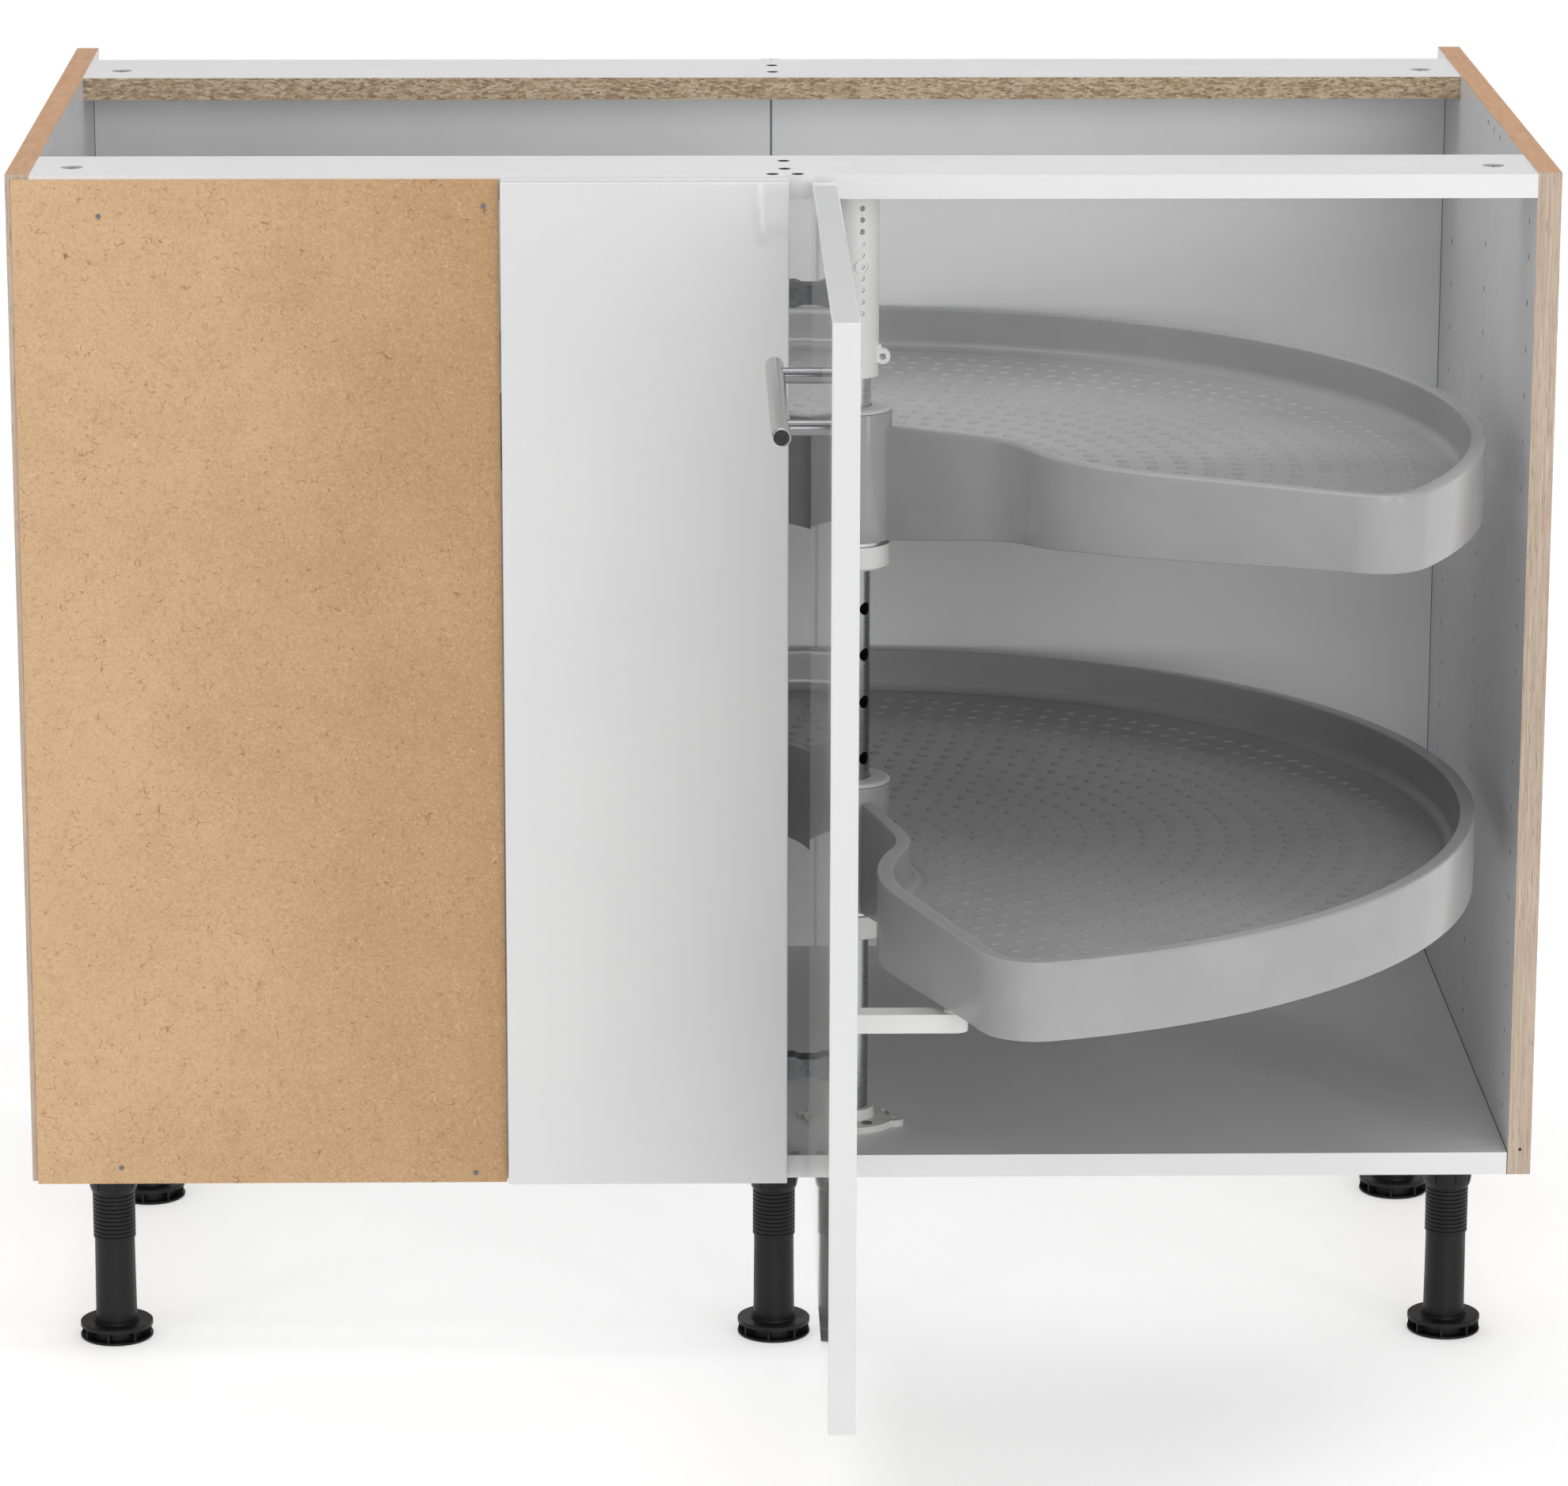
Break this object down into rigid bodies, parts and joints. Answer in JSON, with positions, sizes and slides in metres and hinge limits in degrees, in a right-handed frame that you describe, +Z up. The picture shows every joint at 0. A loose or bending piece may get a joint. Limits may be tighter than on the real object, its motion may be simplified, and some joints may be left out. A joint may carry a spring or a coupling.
{
  "type": "corner carousel cabinet",
  "caption": "Blind-corner kitchen base cabinet on adjustable legs, with a hinged gloss door that turns half-moon storage trays on a vertical post.",
  "frame": {"origin": "on the floor, under the middle of the bounding box of the whole open unit", "axes": "+Z up from the feet to the worktop edge, +Y from the front into the depth of the unit, +X to the right seen from the front"},
  "size_m": [1.034, 1.0696, 0.83],
  "materials": {
    "white_board": "melamine coated board, fine satin",
    "side_board": "melamine coated board with raw orange-brown top edges",
    "edge_band": "light oak edge banding",
    "rear_rail_board": "white coated board with a raw chipboard front edge",
    "back_board": "thin coated back board",
    "grey_strip": "matt grey",
    "hardboard": "raw hardboard",
    "gloss_front": "white high gloss front",
    "steel": "brushed",
    "dark_steel": "dark nickel plate",
    "zinc": "bright zinc",
    "black_plastic": "moulded, fine grain",
    "white_plastic": "moulded, satin",
    "tray_plastic": "moulded grey, satin",
    "cap_plastic": "moulded light grey"
  },
  "bodies": {
    "cabinet": {"side_left": "side_board", "side_right": "side_board", "side_edges": "edge_band", "bottom_panel": "white_board", "front_rail": "white_board", "rear_rail": "rear_rail_board", "back_left": "back_board", "back_right": "back_board", "back_joint": "grey_strip", "blind_panel": "hardboard", "blind_pins": "dark_steel", "filler_panel": "gloss_front", "hinge_stile": "white_board", "cam_fittings": "zinc", "leg_sockets": "black_plastic", "leg_tubes": "black_plastic", "post_tube": "steel", "post_sleeve": "white_plastic", "post_screw": "zinc", "post_base": "white_plastic", "base_screws": "dark_steel", "lower_collar": "white_plastic", "upper_collar": "white_plastic", "hinge_plates": "zinc", "hinge_arms": "dark_steel", "hinge_screws": "zinc", "lower_washer": "zinc"},
    "door": {"door_board": "gloss_front", "hinge_cups": "zinc", "hinge_links": "dark_steel", "cup_screws": "zinc", "handle_bar": "steel", "handle_posts": "steel", "driver_arm": "white_plastic", "driver_pin": "white_plastic", "driver_screws": "zinc"},
    "lower_tray": {"lower_tray": "tray_plastic", "lower_ribs": "tray_plastic", "lower_wall": "tray_plastic", "lower_hub": "tray_plastic", "lower_cap": "cap_plastic", "lower_track": "tray_plastic"},
    "upper_ring": {"upper_washer": "zinc"},
    "upper_tray": {"upper_tray": "tray_plastic", "upper_ribs": "tray_plastic", "upper_wall": "tray_plastic", "upper_hub": "tray_plastic", "upper_cap": "cap_plastic"},
    "foot_1": {"foot_1": "black_plastic"},
    "foot_2": {"foot_2": "black_plastic"},
    "foot_3": {"foot_3": "black_plastic"},
    "foot_4": {"foot_4": "black_plastic"},
    "foot_5": {"foot_5": "black_plastic"}
  },
  "joints": [
    {"name": "door_hinge", "type": "hinge", "parent": "cabinet", "child": "door", "pos_m": [0.0249, -0.0447, 0.478], "axis": [0, 0, 1], "range_deg": [0, 90]},
    {"name": "lower_tray_turn", "type": "hinge", "parent": "cabinet", "child": "lower_tray", "pos_m": [0.048, 0.0448, 0.3835], "axis": [0, 0, 1], "range_deg": [0, 72]},
    {"name": "upper_ring_turn", "type": "hinge", "parent": "cabinet", "child": "upper_ring", "pos_m": [0.048, 0.0448, 0.565], "axis": [0, 0, 1], "range_deg": [0, 28.5]},
    {"name": "upper_tray_turn", "type": "hinge", "parent": "upper_ring", "child": "upper_tray", "pos_m": [0.048, 0.0448, 0.6455], "axis": [0, 0, 1], "range_deg": [-43, 0]},
    {"name": "foot_1_turn", "type": "hinge", "parent": "cabinet", "child": "foot_1", "pos_m": [-0.466, 0.0168, 0.006], "axis": [0, 0, 1], "range_deg": [-360, 360]},
    {"name": "foot_2_turn", "type": "hinge", "parent": "cabinet", "child": "foot_2", "pos_m": [-0.0055, 0.0168, 0.006], "axis": [0, 0, 1], "range_deg": [-360, 360]},
    {"name": "foot_3_turn", "type": "hinge", "parent": "cabinet", "child": "foot_3", "pos_m": [0.466, 0.0168, 0.006], "axis": [0, 0, 1], "range_deg": [-360, 360]},
    {"name": "foot_4_turn", "type": "hinge", "parent": "cabinet", "child": "foot_4", "pos_m": [-0.465, 0.3248, 0.006], "axis": [0, 0, 1], "range_deg": [-360, 360]},
    {"name": "foot_5_turn", "type": "hinge", "parent": "cabinet", "child": "foot_5", "pos_m": [0.465, 0.3248, 0.006], "axis": [0, 0, 1], "range_deg": [-360, 360]}
  ],
  "couplings": [
    {"joint": "lower_tray_turn", "follows": "door_hinge", "ratio": 0.8},
    {"joint": "upper_ring_turn", "follows": "door_hinge", "ratio": 0.3166}
  ]
}
